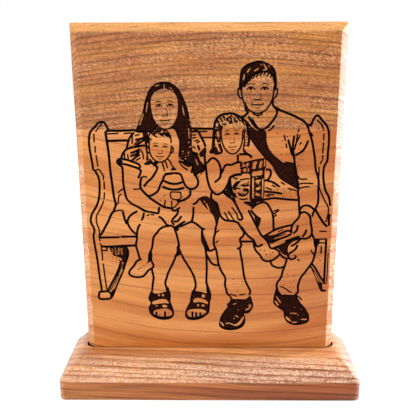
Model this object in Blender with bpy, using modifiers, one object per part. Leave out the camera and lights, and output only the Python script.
"""Engraved wood photo plaque: a bevelled panel of two edge-glued boards, standing in a slotted base.

Metres, +Z up. The picture side faces -Y. The origin is the middle of the base's underside.
"""

import math

import bmesh
import bpy
from mathutils import Vector

# Panel: overall sizes, the glue joint across it, and its edges
PANEL_WIDTH = 0.127
PANEL_THICKNESS = 0.0095
PANEL_HEIGHT = 0.174
UPPER_BOARD_HEIGHT = 0.0482
GLUE_LINE = 0.0002
FRONT_BEVEL = 0.0038
BACK_CHAMFER = 0.003
PANEL_EASE = 0.0008
PANEL_EASE_STEPS = 3

# Base: overall sizes, the bevel round its top, and its rounded edges
BASE_WIDTH = 0.1495
BASE_DEPTH = 0.047
BASE_HEIGHT = 0.0195
BASE_BEVEL = 0.0092
SHOULDER_RADIUS = 0.006
CORNER_EASE = 0.0012
BEVEL_FOOT_EASE = 0.0006
UNDERSIDE_EASE = 0.0008
BASE_EASE_STEPS = 5

# Stopped slot that the panel drops into, routed with one pass of a round cutter
SLOT_DEPTH = 0.013
SLOT_SIDE_CLEARANCE = 0.0003
SLOT_END_CLEARANCE = 0.00045
SLOT_END_STEPS = 14
SEAT_GAP = 0.0003

# Finishes: colour, roughness and metallic value of each piece
FINISHES = {
    "panel_upper_board": ((0.53, 0.21, 0.084), 0.45, 0.0),
    "panel_lower_board": ((0.68, 0.24, 0.075), 0.42, 0.0),
    "base": ((0.55, 0.23, 0.1), 0.42, 0.0),
}

# Derived places
JOINT_HEIGHT = PANEL_HEIGHT - UPPER_BOARD_HEIGHT
SLOT_FLOOR = BASE_HEIGHT - SLOT_DEPTH
BEVEL_FOOT = BASE_HEIGHT - BASE_BEVEL
SLOT_WIDTH = PANEL_THICKNESS + 2 * SLOT_SIDE_CLEARANCE
SHARP_ANGLE = math.radians(40)
TOUCH = 1e-6


def collection(name):
    """A new collection under the scene."""
    made = bpy.data.collections.new(name)
    bpy.context.scene.collection.children.link(made)
    return made


def finish(name):
    """The Principled material of one piece."""
    colour, roughness, metallic = FINISHES[name]
    material = bpy.data.materials.new(name)
    material.use_nodes = True
    shader = material.node_tree.nodes["Principled BSDF"]
    shader.inputs["Base Color"].default_value = (*colour, 1.0)
    shader.inputs["Roughness"].default_value = roughness
    shader.inputs["Metallic"].default_value = metallic
    return material


def piece(name, bm, home):
    """A named object from a bmesh, smooth over its eased edges, in the given collection."""
    bmesh.ops.recalc_face_normals(bm, faces=bm.faces)
    mesh = bpy.data.meshes.new(name)
    bm.to_mesh(mesh)
    bm.free()
    mesh.shade_smooth()
    mesh.set_sharp_from_angle(angle=SHARP_ANGLE)
    made = bpy.data.objects.new(name, mesh)
    home.objects.link(made)
    return made


def block(width, depth, height):
    """A box standing on Z = 0, centred in X and Y."""
    bm = bmesh.new()
    bmesh.ops.create_cube(bm, size=1.0)
    bmesh.ops.scale(bm, vec=(width, depth, height), verts=bm.verts)
    bmesh.ops.translate(bm, vec=(0, 0, height / 2), verts=bm.verts)
    return bm


def edges_in_plane(bm, axis, place):
    """The edges that lie in the plane where this axis has this place."""
    return [e for e in bm.edges if all(abs(v.co[axis] - place) < TOUCH for v in e.verts)]


def cut_back(bm, edges, size, steps=1):
    """Bevels edges by a size measured along the faces: one step is a flat bevel, more are a round."""
    bmesh.ops.bevel(
        bm,
        geom=edges,
        offset=size,
        offset_type="OFFSET",
        segments=steps,
        profile=0.5,
        affect="EDGES",
        clamp_overlap=False,
    )


def panel_blank():
    """The whole glued panel: bevelled round the picture, chamfered behind, every arris eased."""
    bm = block(PANEL_WIDTH, PANEL_THICKNESS, PANEL_HEIGHT)
    cut_back(bm, edges_in_plane(bm, 1, -PANEL_THICKNESS / 2), FRONT_BEVEL)
    cut_back(bm, edges_in_plane(bm, 1, PANEL_THICKNESS / 2), BACK_CHAMFER)
    cut_back(bm, bm.edges[:], PANEL_EASE, PANEL_EASE_STEPS)
    return bm


def board(name, side, home, seat):
    """One board of the panel: the blank above (side 1) or below (side -1) the glue line."""
    bm = panel_blank()
    parted = bmesh.ops.bisect_plane(
        bm,
        geom=bm.verts[:] + bm.edges[:] + bm.faces[:],
        plane_co=(0, 0, JOINT_HEIGHT + side * GLUE_LINE / 2),
        plane_no=(0, 0, -side),
        clear_outer=True,
    )
    rim = [part for part in parted["geom_cut"] if isinstance(part, bmesh.types.BMEdge)]
    bmesh.ops.edgeloop_fill(bm, edges=rim)
    made = piece(name, bm, home)
    made.data.materials.append(finish(name))
    made.parent = seat
    return made


def slot_half_length():
    """Half the slot's length: its round ends clear every corner of the panel's bevelled plan."""
    half_width, half_thickness = PANEL_WIDTH / 2, PANEL_THICKNESS / 2
    corners = (
        (half_width, half_thickness - FRONT_BEVEL),
        (half_width, half_thickness - BACK_CHAMFER),
        (half_width - FRONT_BEVEL, half_thickness),
        (half_width - BACK_CHAMFER, half_thickness),
    )
    radius = SLOT_WIDTH / 2
    reach = max(x + radius - math.sqrt(radius**2 - y**2) for x, y in corners)
    return reach + SLOT_END_CLEARANCE


def slot_outline():
    """The slot seen from above: two straight sides and two half-round ends."""
    radius = SLOT_WIDTH / 2
    middle = slot_half_length() - radius
    points = []
    for end in (1, -1):
        for step in range(SLOT_END_STEPS + 1):
            turn = math.pi * (step / SLOT_END_STEPS - 0.5)
            points.append((end * (middle + radius * math.cos(turn)), end * radius * math.sin(turn)))
    return points


def slot_cutter(home):
    """The space the router clears: the slot's outline, as deep above the base's top as below it."""
    drawn = bpy.data.curves.new("slot_outline", "CURVE")
    drawn.dimensions = "2D"
    drawn.fill_mode = "BOTH"
    drawn.extrude = SLOT_DEPTH
    outline = slot_outline()
    spline = drawn.splines.new("POLY")
    spline.points.add(len(outline) - 1)
    spline.use_cyclic_u = True
    for point, (x, y) in zip(spline.points, outline):
        point.co = (x, y, 0, 1)
    curve = bpy.data.objects.new("slot_outline", drawn)
    home.objects.link(curve)
    curve.location = (0, 0, BASE_HEIGHT)
    bpy.context.view_layer.update()
    solid = bpy.data.meshes.new_from_object(curve.evaluated_get(bpy.context.evaluated_depsgraph_get()))
    bm = bmesh.new()
    bm.from_mesh(solid)
    bmesh.ops.remove_doubles(bm, verts=bm.verts, dist=TOUCH)
    cutter = piece("slot_cutter", bm, home)
    cutter.matrix_world = curve.matrix_world.copy()
    bpy.data.objects.remove(curve)
    cutter.hide_render = True
    cutter.display_type = "WIRE"
    return cutter


def base_edge_size(edge):
    """How far an edge of the bevelled block is cut back along its faces when it is rounded over."""
    heights = [v.co.z for v in edge.verts]
    if max(heights) < TOUCH:
        return UNDERSIDE_EASE
    if min(heights) > BASE_HEIGHT - TOUCH:
        return SHOULDER_RADIUS * math.tan(math.radians(45) / 2)
    if max(abs(height - BEVEL_FOOT) for height in heights) < TOUCH:
        return BEVEL_FOOT_EASE
    return CORNER_EASE


def base(home, cutters):
    """The base: a block bevelled round its top, its edges rounded over together, then slotted."""
    bm = block(BASE_WIDTH, BASE_DEPTH, BASE_HEIGHT)
    cut_back(bm, edges_in_plane(bm, 2, BASE_HEIGHT), BASE_BEVEL)
    weight = bm.edges.layers.float.new("bevel_weight_edge")
    widest = max(base_edge_size(edge) for edge in bm.edges)
    for edge in bm.edges:
        edge[weight] = base_edge_size(edge) / widest
    made = piece("base", bm, home)
    made.data.materials.append(finish("base"))
    rounding = made.modifiers.new("rounded_edges", "BEVEL")
    rounding.limit_method = "WEIGHT"
    rounding.offset_type = "OFFSET"
    rounding.width = widest
    rounding.segments = BASE_EASE_STEPS
    rounding.use_clamp_overlap = False
    slot = made.modifiers.new("slot", "BOOLEAN")
    slot.operation = "DIFFERENCE"
    slot.solver = "EXACT"
    slot.object = slot_cutter(cutters)
    return made


def main():
    for old in list(bpy.data.objects):
        bpy.data.objects.remove(old, do_unlink=True)
    plaque = collection("engraved_wood_photo_plaque")
    cutters = collection("cutters")
    base(plaque, cutters)
    seat = bpy.data.objects.new("panel_seat", None)
    plaque.objects.link(seat)
    seat.location = Vector((0, 0, SLOT_FLOOR + SEAT_GAP))
    board("panel_upper_board", 1, plaque, seat)
    board("panel_lower_board", -1, plaque, seat)
    bpy.context.view_layer.update()


main()
